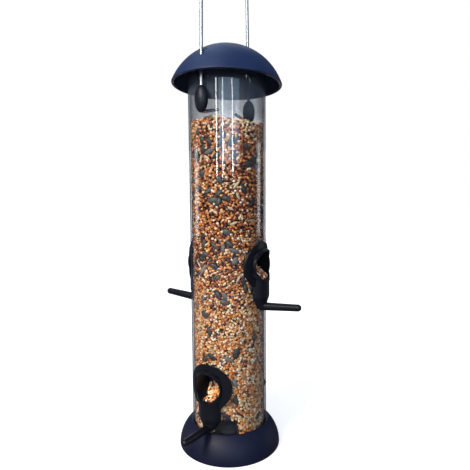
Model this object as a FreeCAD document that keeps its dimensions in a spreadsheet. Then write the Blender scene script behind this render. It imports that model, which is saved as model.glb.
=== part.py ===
import FreeCAD, Part
import Sketcher
import math
import os

# Hanging tube feeder for small seeds.  Millimetres, +Z up.
# Origin: centre of the foot ring's underside.  Lower ports face -Y and +Y, upper ports +X and -X.
# The wire bail stands in the YZ plane and pivots on the Y direction, in two holes near the tube's top.

doc = FreeCAD.newDocument("tube_feeder")
sheet = doc.addObject("Spreadsheet::Sheet", "Sizes")

SIZES = [
    # clear tube
    ("tube_radius", 32.5, "outside radius of the clear tube"),
    ("tube_wall", 1.5, "wall of the clear tube"),
    ("tube_bottom", 7.05, "height of the tube's lower end, on the base ledge"),
    ("tube_top", 325.4, "height of the tube's upper end"),
    ("fit_gap", 0.1, "gap between pieces that are pushed together"),
    ("slide_gap", 0.05, "gap round a spigot, a wire or a disc that drops into place"),
    # ports and perches
    ("port_low", 60.5, "height of the lower openings"),
    ("port_high", 160.5, "height of the upper openings"),
    ("bore_radius", 11.6, "radius of a feeding opening"),
    ("bore_flare", 12.7, "radius of a feeding opening at the front of its lip"),
    ("flare_depth", 3.0, "depth of that flare behind the lip's front"),
    ("collar_radius", 13.0, "outside radius of the collar behind the opening"),
    ("collar_front", 34.0, "distance from the tube's axis to the front of the collar"),
    ("lip_radius", 14.4, "outside radius of the raised lip"),
    ("lip_front", 38.5, "distance from the tube's axis to the front of the lip"),
    ("lip_curve", 14.8, "radius of the lip's front face, which curves back at its sides"),
    ("bevel_back", 22.5, "distance from the tube's axis to the wide end of the lip's bevel"),
    ("bevel_wide", 19.0, "radius of the bevel at its wide end"),
    ("bevel_front", 13.4, "radius of the bevel at the front of the lip"),
    ("flange_radius", 19.5, "radius of the flange that hugs the tube"),
    ("flange_thick", 1.7, "thickness of that flange"),
    ("hood_reach", 12.0, "distance from the tube's axis to the back of the inner hood"),
    ("hood_wall", 1.5, "thickness of the hood's back wall"),
    ("mouth_low", 28.0, "distance from the tube's axis to the outer end of the hood's open mouth"),
    ("mouth_slope", 36.0, "upward slope of the mouth towards the back of the hood, degrees"),
    ("neck_round", 11.5, "radius of the neck's rounded front"),
    ("neck_straight", 26.0, "depth below the opening where the neck starts to taper"),
    ("neck_taper_end", 9.4, "radius of the taper at the height of the tip's centre"),
    ("neck_tip_round", 6.2, "radius of the neck at its lower end"),
    ("neck_tip_back", 1.2, "how far the tip's front stands behind the lip's front"),
    ("neck_bottom", 38.4, "depth of the neck's lower end below the opening"),
    ("perch_drop", 34.2, "depth of the perch root below the opening"),
    ("perch_rise", 4.5, "upward slope of a perch, degrees"),
    ("perch_root_radius", 3.4, "radius of a perch where it leaves the neck"),
    ("perch_tip_radius", 2.85, "radius of a perch at its rounded end"),
    ("perch_end", 68.4, "distance from the tube's axis to the end of a perch"),
    ("perch_socket", 34.6, "distance from the tube's axis to the socket's shoulder"),
    ("spigot_radius", 2.3, "radius of the spigot that locks a perch through the tube wall"),
    ("spigot_start", 27.5, "distance from the tube's axis to the spigot's inner end"),
    ("spigot_bevel", 0.6, "bevel of the spigot's inner end"),
    # base
    ("foot_radius", 44.25, "largest radius of the base skirt"),
    ("skirt_round", 27.6, "radius of the skirt's convex flare"),
    ("skirt_wall", 2.0, "wall of the skirt"),
    ("skirt_top", 21.5, "height of the skirt's upper edge"),
    ("skirt_neck", 33.9, "outside radius of the skirt's upper edge"),
    ("edge_round", 0.9, "rounding of the skirt's edges"),
    ("ledge_low", 5.0, "underside of the ledge that carries the tube"),
    ("ledge_high", 7.0, "top of that ledge"),
    ("ledge_inner", 24.5, "inner radius of that ledge"),
    ("ledge_outer", 34.3, "outer radius of the ledge's underside, inside the skirt"),
    ("dome_height", 27.0, "height of the deflector's crown"),
    ("dome_foot", 21.0, "radius where the deflector's crown meets its disc"),
    ("disc_thick", 2.2, "thickness of the deflector's disc"),
    ("screw_circle", 28.2, "radius of the circle of base screws"),
    ("screw_radius", 1.4, "shank radius of a base screw"),
    ("screw_head", 2.9, "head radius of a base screw"),
    ("screw_head_high", 2.0, "height of a screw's head"),
    ("screw_head_round", 0.7, "rounding of a screw's head"),
    ("drive_length", 3.4, "length of each arm pair of a screw's cross recess"),
    ("drive_width", 0.8, "width of the cross recess"),
    ("drive_depth", 0.9, "depth of the cross recess"),
    ("drain_radius", 1.5, "radius of a drain hole"),
    ("drain_circle", 22.7, "radius of the circle of drain holes"),
    # lid
    ("lid_radius", 46.15, "outside radius of the lid's rim"),
    ("lid_round", 49.6, "outside radius of the lid's dome"),
    ("lid_wall", 2.0, "wall of the lid"),
    ("lid_height", 31.6, "height of the lid's crown above its rim"),
    ("lid_edge", 0.9, "depth of the rim's straight edge below the dome"),
    ("lid_edge_round", 0.7, "rounding of the rim's two lower edges"),
    ("lid_rim", 310.75, "height of the rim's centre"),
    ("lid_lean", 3.8, "lean of the loosely seated lid, low at +Y, degrees"),
    ("slot_inner", 31.4, "inner end of a wire slot, from the lid's axis"),
    ("slot_outer", 39.3, "outer end of a wire slot, from the lid's axis"),
    ("slot_width", 4.2, "width of a wire slot"),
    # wire bail and its sleeves
    ("wire_radius", 1.3, "radius of the bail wire"),
    ("wire_play", 0.4, "play of the bail wire in the tube wall"),
    ("pivot_height", 284.3, "height of the wire holes in the tube"),
    ("stub_rise", 12.5, "upward slope of the wire's inner stub, degrees"),
    ("stub_end", 14.0, "distance from the tube's axis to the end of a stub"),
    ("leg_foot", 37.35, "distance from the tube's axis to a leg at pivot height"),
    ("leg_lean", 1.34, "inward lean of a leg, degrees"),
    ("bend_round", 3.2, "radius of the bend between leg and stub"),
    ("arch_height", 420.0, "height of the arch's centre"),
    ("sleeve_height", 293.2, "height of a sleeve's centre"),
    ("sleeve_half", 10.6, "half height of a sleeve"),
    ("sleeve_broad", 5.8, "half width of a sleeve, along the tube wall"),
    ("sleeve_deep", 4.25, "half depth of a sleeve, towards the tube"),
    # seed
    ("seed_radius", 30.6, "radius of the seed column"),
    ("seed_top", 278.0, "height of the seed column's top"),
    ("seed_bottom", 9.6, "height of the seed column's lower face"),
    ("seed_gap", 0.3, "gap between the seed and the pieces that stand in it"),
]

for row, (alias, value, note) in enumerate(SIZES, start=1):
    sheet.set(f"A{row}", alias)
    sheet.set(f"B{row}", str(value))
    sheet.set(f"C{row}", note)
    sheet.setAlias(f"B{row}", alias)
doc.recompute()


class Size:
    """A length or angle: its expression in the sheet's aliases, and its present value."""

    def __init__(self, text, value):
        self.text = text
        self.value = value

    @staticmethod
    def of(other):
        return other if isinstance(other, Size) else Size(str(other), float(other))

    def __add__(self, other):
        other = Size.of(other)
        return Size(f"({self.text} + {other.text})", self.value + other.value)

    def __sub__(self, other):
        other = Size.of(other)
        return Size(f"({self.text} - {other.text})", self.value - other.value)

    def __mul__(self, other):
        other = Size.of(other)
        return Size(f"({self.text} * {other.text})", self.value * other.value)

    def __truediv__(self, other):
        other = Size.of(other)
        return Size(f"({self.text} / {other.text})", self.value / other.value)

    def __neg__(self):
        return Size(f"(0 - {self.text})", -self.value)

    def sin(self):
        return Size(f"sin({self.text})", math.sin(math.radians(self.value)))

    def cos(self):
        return Size(f"cos({self.text})", math.cos(math.radians(self.value)))

    def tan(self):
        return Size(f"tan({self.text})", math.tan(math.radians(self.value)))

    def root(self):
        return Size(f"sqrt({self.text})", math.sqrt(self.value))


D = {alias: Size(f"Sizes.{alias}", float(value)) for alias, value, _ in SIZES}

OVERRUN = 8.0  # how far a cutting tool runs past the faces that it cuts
SMALLEST_CUT = 0.1  # a cut that takes less than this, in mm3, missed
SCREW_COUNT = 3
FIRST_SCREW = 60.0  # turn of the first screw from +X, in degrees
DRAIN_COUNT = 6
PORTS = {  # side: (turn about the tube's axis in degrees, height of the opening)
    "front": (-90.0, D["port_low"]),
    "back": (90.0, D["port_low"]),
    "right": (0.0, D["port_high"]),
    "left": (180.0, D["port_high"]),
}

X_AXIS = FreeCAD.Vector(1, 0, 0)
Y_AXIS = FreeCAD.Vector(0, 1, 0)
Z_AXIS = FreeCAD.Vector(0, 0, 1)
pieces = []  # the finished sub-parts, in the order in which they are written


# ---- helpers ---------------------------------------------------------------------------


def bind(thing, **links):
    """Ties properties of a document object to expressions of the sheet."""
    for name, size in links.items():
        thing.setExpression(name, Size.of(size).text)
    return thing


def place(thing, base=(0, 0, 0), axis=Z_AXIS, angle=0.0):
    """Puts a document object at a point, turned about an axis, with both bound to the sheet."""
    base = [Size.of(part) for part in base]
    angle = Size.of(angle)
    spot = FreeCAD.Vector(*[part.value for part in base])
    thing.Placement = FreeCAD.Placement(spot, FreeCAD.Rotation(axis, angle.value))
    for letter, part in zip("xyz", base):
        thing.setExpression(f".Placement.Base.{letter}", part.text)
    return thing


def finish(thing, label):
    """Gives a finished sub-part its name and adds it to the list."""
    thing.Label = label
    pieces.append(thing)
    return thing


def primitive(kind, name, base=(0, 0, 0), axis=Z_AXIS, angle=0.0, **links):
    """A Part primitive with bound sizes and a bound place."""
    return place(bind(doc.addObject(f"Part::{kind}", name), **links), base, axis, angle)


def along_x(name, radius, start, end, height=0.0):
    """A cylinder along +X, from start to end, at a height."""
    length = Size.of(end) - start
    return primitive("Cylinder", name, (start, 0, height), Y_AXIS, 90.0, Radius=radius, Height=length)


def frustum_x(name, radius_start, radius_end, start, end):
    """A cone without its point along +X, from start to end."""
    length = Size.of(end) - start
    return primitive(
        "Cone", name, (start, 0, 0), Y_AXIS, 90.0, Radius1=radius_start, Radius2=radius_end, Height=length
    )


def upright(name, radius, low, high, centre=0.0):
    """A cylinder along +Z, from low to high, with its axis at X = centre."""
    length = Size.of(high) - low
    return primitive("Cylinder", name, (centre, 0, low), Radius=radius, Height=length)


def cut(name, base, tool):
    result = doc.addObject("Part::Cut", name)
    result.Base = base
    result.Tool = tool
    return result


def joined(name, shapes):
    result = doc.addObject("Part::MultiFuse", name)
    result.Shapes = shapes
    return result


def shared(name, shapes):
    result = doc.addObject("Part::MultiCommon", name)
    result.Shapes = shapes
    return result


def origin_plane(body, role):
    return next(part for part in body.Origin.OriginFeatures if part.Role == role)


def new_sketch(body, name, role):
    sketch = body.newObject("Sketcher::SketchObject", name)
    sketch.AttachmentSupport = [(origin_plane(body, role), "")]
    sketch.MapMode = "FlatFace"
    return sketch


def pin_vertex(sketch, edge, end, across, up):
    """Holds one end of an edge at bound distances from the sketch's origin."""
    for kind, size in (("DistanceX", across), ("DistanceY", up)):
        index = sketch.addConstraint(Sketcher.Constraint(kind, -1, 1, edge, end, size.value))
        sketch.setExpression(f"Constraints[{index}]", size.text)


def arc_between(start, end, radius, side):
    """The short arc from start to end whose centre is on the left (+1) or right (-1) of the way."""
    chord = end - start
    middle = (start + end) / 2
    normal = FreeCAD.Vector(-chord.y, chord.x, 0).normalize()
    reach = math.sqrt(radius**2 - (chord.Length / 2) ** 2)
    centre = middle + normal * (reach * side)
    first, last = (start, end) if side > 0 else (end, start)
    angles = [math.atan2(point.y - centre.y, point.x - centre.x) for point in (first, last)]
    if angles[1] < angles[0]:
        angles[1] += 2 * math.pi
    circle = Part.Circle(centre, FreeCAD.Vector(0, 0, 1), radius)
    return Part.ArcOfCircle(circle, *angles)


def draw_outline(sketch, outline):
    """Draws a closed outline.  Each corner is (across, up) or (across, up, radius, side), where the
    last two make the edge that leaves the corner an arc."""
    corners = [(Size.of(corner[0]), Size.of(corner[1])) for corner in outline]
    points = [FreeCAD.Vector(across.value, up.value, 0) for across, up in corners]
    ends = []  # the sketch's number of each edge's first and last vertex, in the outline's order
    for index, corner in enumerate(outline):
        start, end = points[index], points[(index + 1) % len(points)]
        if len(corner) == 2:
            edge = sketch.addGeometry(Part.LineSegment(start, end), False)
            ends.append((edge, 1, 2))
            continue
        radius, side = Size.of(corner[2]), corner[3]
        edge = sketch.addGeometry(arc_between(start, end, radius.value, side), False)
        number = sketch.addConstraint(Sketcher.Constraint("Radius", edge, radius.value))
        sketch.setExpression(f"Constraints[{number}]", radius.text)
        ends.append((edge, 1, 2) if side > 0 else (edge, 2, 1))
    for index, (edge, first, _) in enumerate(ends):
        before = ends[index - 1]
        sketch.addConstraint(Sketcher.Constraint("Coincident", before[0], before[2], edge, first))
        pin_vertex(sketch, edge, first, *corners[index])


def turned_body(name, outline, axis="V_Axis"):
    """A body turned from an outline drawn in the XZ plane, about Z (V_Axis) or X (H_Axis)."""
    body = doc.addObject("PartDesign::Body", name)
    sketch = new_sketch(body, f"{name}_outline", "XZ_Plane")
    draw_outline(sketch, outline)
    turning = body.newObject("PartDesign::Revolution", f"{name}_turning")
    turning.Profile = sketch
    turning.ReferenceAxis = (sketch, [axis])
    turning.Angle = 360.0
    sketch.Visibility = False
    doc.recompute()
    return body


def drill_through(body, name, role, holes):
    """Cuts round holes (across, up, radius) right through a body, both ways from an origin plane."""
    before = body.Shape.Volume
    sketch = new_sketch(body, f"{name}_sketch", role)
    for across, up, radius in holes:
        across, up, radius = Size.of(across), Size.of(up), Size.of(radius)
        centre = FreeCAD.Vector(across.value, up.value, 0)
        edge = sketch.addGeometry(Part.Circle(centre, Z_AXIS, radius.value), False)
        number = sketch.addConstraint(Sketcher.Constraint("Radius", edge, radius.value))
        sketch.setExpression(f"Constraints[{number}]", radius.text)
        pin_vertex(sketch, edge, 3, across, up)
    return cut_through(body, name, sketch, before)


def cut_through(body, name, sketch, before):
    pocket = body.newObject("PartDesign::Pocket", name)
    pocket.Profile = sketch
    pocket.Type = 1  # through all
    pocket.Midplane = True
    doc.recompute()
    if body.Shape.Volume > before - SMALLEST_CUT:
        raise RuntimeError(f"{name} cut nothing")
    return pocket


# ---- clear tube ------------------------------------------------------------------------


def make_tube():
    outside, inside = D["tube_radius"], D["tube_radius"] - D["tube_wall"]
    low, high = D["tube_bottom"], D["tube_top"]
    body = turned_body("Tube", [(inside, low), (outside, low), (outside, high), (inside, high)])
    port_hole = D["collar_radius"] + D["fit_gap"]
    spigot_hole = D["spigot_radius"] + D["fit_gap"]
    wire_hole = D["wire_radius"] + D["wire_play"]
    for name, role, height in (("Low", "XZ_Plane", D["port_low"]), ("High", "YZ_Plane", D["port_high"])):
        holes = [(0, height, port_hole), (0, height - spigot_centre_drop(), spigot_hole)]
        drill_through(body, f"{name}_holes", role, holes)
    drill_through(body, "Wire_holes", "XZ_Plane", [(0, D["pivot_height"], wire_hole)])
    return finish(body, "feeder_tube")


def spigot_centre_drop():
    """How far below an opening the perch's axis crosses the middle of the tube wall."""
    inward = D["lip_front"] - D["tube_radius"] + D["tube_wall"] / 2
    return D["perch_drop"] + inward * D["perch_rise"].tan()


# ---- base ------------------------------------------------------------------------------


def make_skirt():
    """Flared skirt with a socket for the tube, a ledge under the tube and a flat foot ring."""
    foot, flare, wall = D["foot_radius"], D["skirt_round"], D["skirt_wall"]
    socket = D["tube_radius"] + D["fit_gap"]
    ledge_outer = D["ledge_outer"]
    flare_centre = foot - flare
    inner_flare = flare - wall
    roof = (inner_flare * inner_flare - (ledge_outer - flare_centre) * (ledge_outer - flare_centre)).root()
    soft = D["edge_round"]
    foot_edge = flare_centre + (flare * flare - soft * soft).root()
    lip_edge = D["skirt_neck"] + soft * 0.5
    lip_low = (flare * flare - (lip_edge - flare_centre) * (lip_edge - flare_centre)).root()
    outline = [
        (foot - wall, 0),
        (foot - soft, 0, soft, 1),
        (foot_edge, soft, flare, 1),
        (lip_edge, lip_low, soft, 1),
        (D["skirt_neck"] - soft * 0.3, D["skirt_top"]),
        (socket, D["skirt_top"]),
        (socket, D["ledge_high"]),
        (D["ledge_inner"], D["ledge_high"]),
        (D["ledge_inner"], D["ledge_low"]),
        (ledge_outer, D["ledge_low"]),
        (ledge_outer, roof, inner_flare, -1),
    ]
    body = turned_body("Skirt", outline)
    holes = [(across, up, D["screw_radius"] + D["fit_gap"]) for across, up in screw_places()]
    drill_through(body, "Screw_holes", "XY_Plane", holes)
    return finish(body, "base_skirt")


def screw_places():
    turn = 360.0 / SCREW_COUNT
    angles = [Size.of(turn * index + FIRST_SCREW) for index in range(SCREW_COUNT)]
    return [(D["screw_circle"] * angle.cos(), D["screw_circle"] * angle.sin()) for angle in angles]


def make_deflector():
    """Disc inside the tube's lower end, with a crown that sheds seed towards the lower ports."""
    low = D["ledge_high"] + D["slide_gap"]
    high = low + D["disc_thick"]
    edge = D["tube_radius"] - D["tube_wall"] - D["fit_gap"]
    wall, top, foot = D["disc_thick"], D["dome_height"], D["dome_foot"]
    rise = top - high
    crown = (foot * foot + rise * rise) / (rise * 2)  # radius of the crown, centred on the axis
    hollow = crown - wall
    centre = top - crown
    inner_foot = (hollow * hollow - (low - centre) * (low - centre)).root()
    outline = [
        (inner_foot, low),
        (edge, low),
        (edge, high),
        (foot, high, crown, 1),
        (0, top),
        (0, top - wall, hollow, -1),
    ]
    body = turned_body("Deflector", outline)
    drains = []
    for index in range(DRAIN_COUNT):
        angle = Size.of(360.0 / DRAIN_COUNT * index)
        drains.append((D["drain_circle"] * angle.cos(), D["drain_circle"] * angle.sin(), D["drain_radius"]))
    drill_through(body, "Drain_holes", "XY_Plane", drains)
    screws = [(across, up, D["screw_radius"]) for across, up in screw_places()]
    drill_through(body, "Pilot_holes", "XY_Plane", screws)
    return finish(body, "seed_deflector")


def make_screws():
    """Three pan-head screws that hold the deflector down on the ledge, as one group of solids."""
    head_high = D["ledge_low"].value
    head_low = head_high - D["screw_head_high"].value
    tip = D["ledge_high"].value + D["disc_thick"].value
    arm, width, depth = (D[alias].value for alias in ("drive_length", "drive_width", "drive_depth"))
    solids = []
    for across, up in screw_places():
        foot = FreeCAD.Vector(across.value, up.value, head_low)
        head = Part.makeCylinder(D["screw_head"].value, head_high - head_low, foot)
        lower_edges = [edge for edge in head.Edges if edge.BoundBox.ZMax < (head_low + head_high) / 2]
        head = head.makeFillet(D["screw_head_round"].value, lower_edges)
        shank = Part.makeCylinder(D["screw_radius"].value, tip - head_low, foot)
        slot = Part.makeBox(arm, width, depth, foot - FreeCAD.Vector(arm / 2, width / 2, 0))
        cross = Part.makeBox(width, arm, depth, foot - FreeCAD.Vector(width / 2, arm / 2, 0))
        solids.append(head.fuse(shank).cut(slot.fuse(cross)).removeSplitter())
    group = doc.addObject("Part::Feature", "Base_screws")
    group.Shape = Part.makeCompound(solids)
    return finish(group, "base_screws")


# ---- lid -------------------------------------------------------------------------------


def make_lid():
    """Domed lid with two slots for the legs of the bail.  It sits loosely, so it leans a little."""
    rim, dome, wall, crown = D["lid_radius"], D["lid_round"], D["lid_wall"], D["lid_height"]
    hollow = dome - wall
    centre = crown - dome
    inner = rim - wall
    outer_edge = centre + (dome * dome - rim * rim).root()
    inner_edge = centre + (hollow * hollow - inner * inner).root()
    edge_low = -D["lid_edge"]
    soft = D["lid_edge_round"]
    outline = [
        (inner + soft, edge_low),
        (rim - soft, edge_low, soft, 1),
        (rim, edge_low + soft),
        (rim, outer_edge, dome, 1),
        (0, crown),
        (0, crown - wall, hollow, -1),
        (inner, inner_edge),
        (inner, edge_low + soft, soft, 1),
    ]
    body = turned_body("Lid", outline)
    before = body.Shape.Volume
    sketch = new_sketch(body, "Wire_slots_sketch", "XY_Plane")
    half = D["slot_width"] / 2
    end_round = half * 1.02  # a full half circle would leave the sketch's solver no freedom
    near, far = D["slot_inner"] + half, D["slot_outer"] - half
    for side in (1, -1):
        low, high = (near, far) if side > 0 else (-near, -far)
        outline = [(half, low), (half, high, end_round, side), (-half, high), (-half, low, end_round, side)]
        draw_outline(sketch, outline)
    cut_through(body, "Wire_slots", sketch, before)
    place(body, (0, 0, D["lid_rim"]), X_AXIS, -D["lid_lean"])
    return finish(body, "lid_dome")


# ---- wire bail and its sleeves ---------------------------------------------------------


def leg_at(height):
    """Distance of a leg's centre line from the tube's axis."""
    lean = math.tan(math.radians(D["leg_lean"].value))
    return D["leg_foot"].value - (height - D["pivot_height"].value) * lean


def rounded_path(points, radii):
    """Straight runs through points in the YZ plane, joined by tangent arcs of the given radii."""
    edges = []
    start = points[0]
    for index in range(1, len(points) - 1):
        corner = points[index]
        towards = (points[index - 1] - corner).normalize()
        away = (points[index + 1] - corner).normalize()
        opening = towards.getAngle(away)
        setback = radii[index - 1] / math.tan(opening / 2)
        first, last = corner + towards * setback, corner + away * setback
        bisector = (towards + away).normalize()
        centre = corner + bisector * (radii[index - 1] / math.sin(opening / 2))
        middle = centre - bisector * radii[index - 1]
        edges.append(Part.LineSegment(start, first).toShape())
        edges.append(Part.Arc(first, middle, last).toShape())
        start = last
    edges.append(Part.LineSegment(start, points[-1]).toShape())
    return edges


def bail_edges(side):
    """The stub, bend and leg on one side (-1 front, +1 back), from the stub's end upwards."""
    rise = math.tan(math.radians(D["stub_rise"].value))
    pivot = D["pivot_height"].value
    wall = D["tube_radius"].value
    inner_end = FreeCAD.Vector(0, side * D["stub_end"].value, pivot + (wall - D["stub_end"].value) * rise)
    foot = D["leg_foot"].value
    corner = FreeCAD.Vector(0, side * foot, pivot - (foot - wall) * rise)
    lean = math.radians(D["leg_lean"].value)
    radius = arch_radius()
    tangent_height = D["arch_height"].value + radius * math.sin(lean)
    leg_top = FreeCAD.Vector(0, side * radius * math.cos(lean), tangent_height)
    return rounded_path([inner_end, corner, leg_top], [D["bend_round"].value])


def arch_radius():
    """Radius of the arch that both legs run into without a kink."""
    lean = math.radians(D["leg_lean"].value)
    return leg_at(D["arch_height"].value) * math.cos(lean)


def bail_wire():
    """The whole centre line: front stub and leg, the arch over the top, back leg and stub."""
    front = bail_edges(-1)
    back = bail_edges(1)
    top = FreeCAD.Vector(0, 0, D["arch_height"].value + arch_radius())
    arch = Part.Arc(front[-1].Vertexes[-1].Point, top, back[-1].Vertexes[-1].Point).toShape()
    edges = front + [arch] + back[::-1]
    return Part.Wire(Part.__sortEdges__(edges))


def swept(wire, radius):
    """A round rod of this radius along a wire."""
    start = wire.Edges[0].valueAt(wire.Edges[0].FirstParameter)
    direction = wire.Edges[0].tangentAt(wire.Edges[0].FirstParameter)
    section = Part.Wire([Part.Circle(start, direction, radius).toShape()])
    return wire.makePipeShell([section], True, False)


def make_bail():
    rod = swept(bail_wire(), D["wire_radius"].value)
    bail = doc.addObject("Part::Feature", "Bail")
    bail.Shape = rod
    return finish(bail, "wire_bail")


def make_sleeves():
    """Oval sleeves that cover the bend of the wire, one on each leg."""
    for name, side in (("front", -1), ("back", 1)):
        centre = leg_at(D["sleeve_height"].value)
        oval = doc.addObject("Part::Ellipsoid", f"Oval_{name}")
        bind(oval, Radius1=D["sleeve_half"], Radius2=D["sleeve_broad"], Radius3=D["sleeve_deep"])
        lean = FreeCAD.Rotation(X_AXIS, side * D["leg_lean"].value)
        spot = FreeCAD.Vector(0, side * centre, D["sleeve_height"].value)
        oval.Placement = FreeCAD.Placement(spot, lean)
        channel = doc.addObject("Part::Feature", f"Channel_{name}")
        edges = Part.__sortEdges__(bail_edges(side))
        channel.Shape = swept(Part.Wire(edges), D["wire_radius"].value + D["slide_gap"].value)
        finish(cut(f"Sleeve_{name}", oval, channel), f"wire_sleeve_{name}")


# ---- ports -----------------------------------------------------------------------------


def make_port(side, turn, height):
    """One feeding port, drawn facing +X with its opening at height 0, then turned into place."""
    tube = D["tube_radius"] + D["fit_gap"]
    flange_outside = D["tube_radius"] + D["flange_thick"]
    reach = D["flange_radius"] + OVERRUN

    def name(word):
        return f"{word}_{side}"

    disc = along_x(name("Flange_disc"), D["flange_radius"], 0, D["lip_front"])
    curve = upright(name("Flange_curve"), flange_outside, -reach, reach)
    flange = shared(name("Flange"), [disc, curve])

    ridge = upright(name("Lip_ridge"), D["lip_curve"], -reach, reach, D["lip_front"] - D["lip_curve"])
    bevel = frustum_x(name("Lip_bevel"), D["bevel_wide"], D["bevel_front"], D["bevel_back"], D["lip_front"])
    lip_disc = along_x(name("Lip_disc"), D["lip_radius"], 0, D["lip_front"])
    lip = shared(name("Lip"), [ridge, bevel, lip_disc])

    tip_height = D["neck_bottom"] - D["neck_tip_round"]
    neck_centre = D["lip_front"] - D["neck_round"]
    shaft = upright(name("Neck_shaft"), D["neck_round"], -D["neck_straight"], 0, neck_centre)
    taper = primitive(
        "Cone",
        name("Neck_taper"),
        (neck_centre, 0, -tip_height),
        Radius1=D["neck_taper_end"],
        Radius2=D["neck_round"],
        Height=tip_height - D["neck_straight"],
    )
    tip_centre = D["lip_front"] - D["neck_tip_round"] - D["neck_tip_back"]
    tip = primitive("Sphere", name("Neck_tip"), (tip_centre, 0, -tip_height), Radius=D["neck_tip_round"])
    outside = joined(name("Outside"), [flange, lip, shaft, taper, tip])
    core = upright(name("Tube_core"), tube, -D["neck_bottom"] - OVERRUN, reach)
    hugging = cut(name("Hugging"), outside, core)

    collar = along_x(name("Collar"), D["collar_radius"], D["hood_reach"], D["collar_front"])
    solid = joined(name("Port_solid"), [hugging, collar])
    bore_start, bore_end = D["hood_reach"] + D["hood_wall"], D["lip_front"] + OVERRUN
    bore = along_x(name("Bore"), D["bore_radius"], bore_start, bore_end)
    flare_start = D["lip_front"] - D["flare_depth"]
    flare = frustum_x(name("Flare"), D["bore_radius"], D["bore_flare"], flare_start, D["lip_front"])
    socket = perch_hole(name("Socket"), D["perch_root_radius"], D["perch_socket"], bore_end)
    keyhole = perch_hole(name("Keyhole"), D["spigot_radius"], D["spigot_start"] - OVERRUN, D["lip_front"])
    tools = joined(name("Cuts"), [bore, flare, hood_mouth(name("Hood_mouth")), socket, keyhole])
    port = cut(name("Port"), solid, tools)
    place(port, (0, 0, height), Z_AXIS, turn)
    return finish(port, f"port_{side}")


def hood_mouth(name):
    """A cutting box below the plane that slopes up from the wall to the back of the hood."""
    length, width, depth = D["mouth_low"], (D["collar_radius"] + OVERRUN) * 2, D["collar_radius"] + OVERRUN
    mouth = bind(doc.addObject("Part::Box", name), Length=length, Width=width, Height=depth)
    corner = FreeCAD.Vector(D["mouth_low"].value, -width.value / 2, -D["collar_radius"].value)
    slope = FreeCAD.Rotation(Y_AXIS, D["mouth_slope"].value)
    below = FreeCAD.Placement(FreeCAD.Vector(-length.value, 0, -depth.value), FreeCAD.Rotation())
    mouth.Placement = FreeCAD.Placement(corner, slope) * below
    return mouth


def perch_hole(name, radius, start, end):
    """A round cutter along the perch's axis, a little wider than what it takes."""
    start, end = Size.of(start), Size.of(end)
    hole = doc.addObject("Part::Cylinder", name)
    bind(hole, Radius=radius + D["slide_gap"], Height=end - start)
    lying = FreeCAD.Placement(FreeCAD.Vector(), FreeCAD.Rotation(Y_AXIS, 90.0))
    hole.Placement = perch_spot(start.value) * lying
    return hole


def perch_spot(distance):
    """The place on a +X perch's axis at this distance from the tube's axis, turned along the perch."""
    rise = D["perch_rise"].value
    outward = distance - D["lip_front"].value
    height = -D["perch_drop"].value + outward * math.tan(math.radians(rise))
    return FreeCAD.Placement(FreeCAD.Vector(distance, 0, height), FreeCAD.Rotation(Y_AXIS, -rise))


# ---- perches ---------------------------------------------------------------------------


def make_perch(side, turn, height):
    """A tapered peg with a rounded end and a spigot, drawn along X and then turned into place."""
    start, shoulder, end = D["spigot_start"], D["perch_socket"], D["perch_end"]
    spigot, root, tip = D["spigot_radius"], D["perch_root_radius"], D["perch_tip_radius"]
    gap, bevel = D["slide_gap"], D["spigot_bevel"]
    outline = [
        (0, 0),
        (end - start, 0, tip, 1),
        (end - start - tip, tip),
        (shoulder - start + gap, root),
        (shoulder - start + gap, spigot),
        (bevel, spigot),
        (0, spigot - bevel),
    ]
    body = turned_body(f"Perch_{side}", outline, "H_Axis")
    body.Placement = (
        FreeCAD.Placement(FreeCAD.Vector(0, 0, height.value), FreeCAD.Rotation(Z_AXIS, turn))
        * perch_spot(start.value)
    )
    return finish(body, f"perch_{side}")


# ---- seed ------------------------------------------------------------------------------


def make_seed():
    """The column of seed, clear of the crown, the hoods and the spigots."""
    gap = D["seed_gap"]
    column = upright("Seed_column", D["seed_radius"], D["seed_bottom"], D["seed_top"])
    rooms = [upright("Crown_room", D["dome_foot"] + gap, 0, D["dome_height"] + gap)]
    lying = FreeCAD.Placement(FreeCAD.Vector(), FreeCAD.Rotation(Y_AXIS, 90.0))
    for side, (turn, height) in PORTS.items():
        hood = doc.addObject("Part::Cylinder", f"Hood_room_{side}")
        hood_start = D["hood_reach"] - gap
        bind(hood, Radius=D["collar_radius"] + gap, Height=D["tube_radius"] - hood_start)
        spigot = doc.addObject("Part::Cylinder", f"Spigot_room_{side}")
        spigot_start = D["spigot_start"] - gap
        bind(spigot, Radius=D["spigot_radius"] + gap, Height=D["tube_radius"] - spigot_start + OVERRUN)
        around = FreeCAD.Placement(FreeCAD.Vector(0, 0, height.value), FreeCAD.Rotation(Z_AXIS, turn))
        back = FreeCAD.Placement(FreeCAD.Vector(hood_start.value, 0, 0), FreeCAD.Rotation())
        hood.Placement = around * back * lying
        spigot.Placement = around * perch_spot(spigot_start.value) * lying
        rooms += [hood, spigot]
    seed = cut("Seed", column, joined("Seed_rooms", rooms))
    return finish(seed, "seed_fill")


# ---- build, check and write ------------------------------------------------------------


def check():
    """Stops if any object failed, or if a finished piece isn't a sound solid."""
    for thing in doc.Objects:
        if {"Invalid", "Error"} & set(thing.State):
            raise RuntimeError(f"{thing.Label} is {thing.State}")
    for piece in pieces:
        shape = piece.Shape
        if shape.isNull() or not shape.isValid() or not shape.Solids:
            raise RuntimeError(f"{piece.Label} is not a sound solid")


def write():
    os.makedirs("parts", exist_ok=True)
    for piece in pieces:
        piece.Shape.exportStep(f"parts/{piece.Label}.step")
        box = piece.Shape.BoundBox
        print(f"{piece.Label}: {len(piece.Shape.Solids)} solid, {piece.Shape.Volume / 1000:.2f} cm3,"
              f" z {box.ZMin:.2f} to {box.ZMax:.2f}")


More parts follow.
